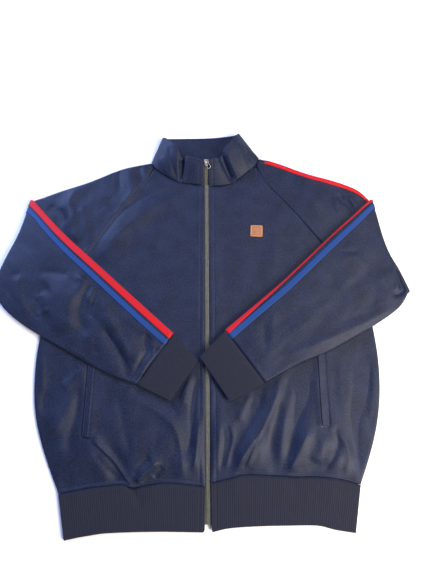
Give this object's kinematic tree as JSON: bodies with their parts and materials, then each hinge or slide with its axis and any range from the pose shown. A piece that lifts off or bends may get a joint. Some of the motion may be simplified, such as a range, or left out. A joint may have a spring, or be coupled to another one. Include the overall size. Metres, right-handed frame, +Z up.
{
  "type": "track jacket",
  "caption": "Zip-front raglan track jacket with stand collar, striped sleeves and ribbed cuffs and hem, laid flat on its back with both sleeves folded over the front.",
  "frame": {"origin": "middle of the outline of the laid-out jacket, on the surface that it lies on", "axes": "+X towards the wearer's left, +Y towards the collar, +Z up out of the surface, through the front of the jacket"},
  "size_m": [0.7776, 0.7512, 0.0321],
  "materials": {
    "navy_tricot": "navy polyester tricot with a faint sheen",
    "navy_rib": "matt navy rib knit",
    "red_tape": "red woven tape",
    "blue_tape": "royal blue woven tape",
    "zip_cloth": "dark olive-grey woven zip tape with a polyester coil",
    "tan_leather": "plain tan leather",
    "bright_metal": "bright plated zinc"
  },
  "bodies": {
    "jacket": {"back_panel": "navy_tricot", "front_right": "navy_tricot", "front_left": "navy_tricot", "sleeve_right": "navy_tricot", "sleeve_left": "navy_tricot", "collar": "navy_tricot", "pocket_welt_right": "navy_tricot", "pocket_welt_left": "navy_tricot", "cuff_right": "navy_rib", "cuff_left": "navy_rib", "hem_rib": "navy_rib", "tape_red_right": "red_tape", "tape_red_left": "red_tape", "tape_blue_right": "blue_tape", "tape_blue_left": "blue_tape", "zip_tape_right": "zip_cloth", "zip_tape_left": "zip_cloth", "chest_patch": "tan_leather", "zip_slider": "bright_metal"},
    "pull_tab": {"zip_pull": "bright_metal"}
  },
  "joints": [
    {"name": "pull_hinge", "type": "hinge", "parent": "jacket", "child": "pull_tab", "pos_m": [0.00869, 0.29666, 0.02892], "axis": [-0.8612, -0.4663, -0.2023], "range_deg": [0, 150]}
  ]
}
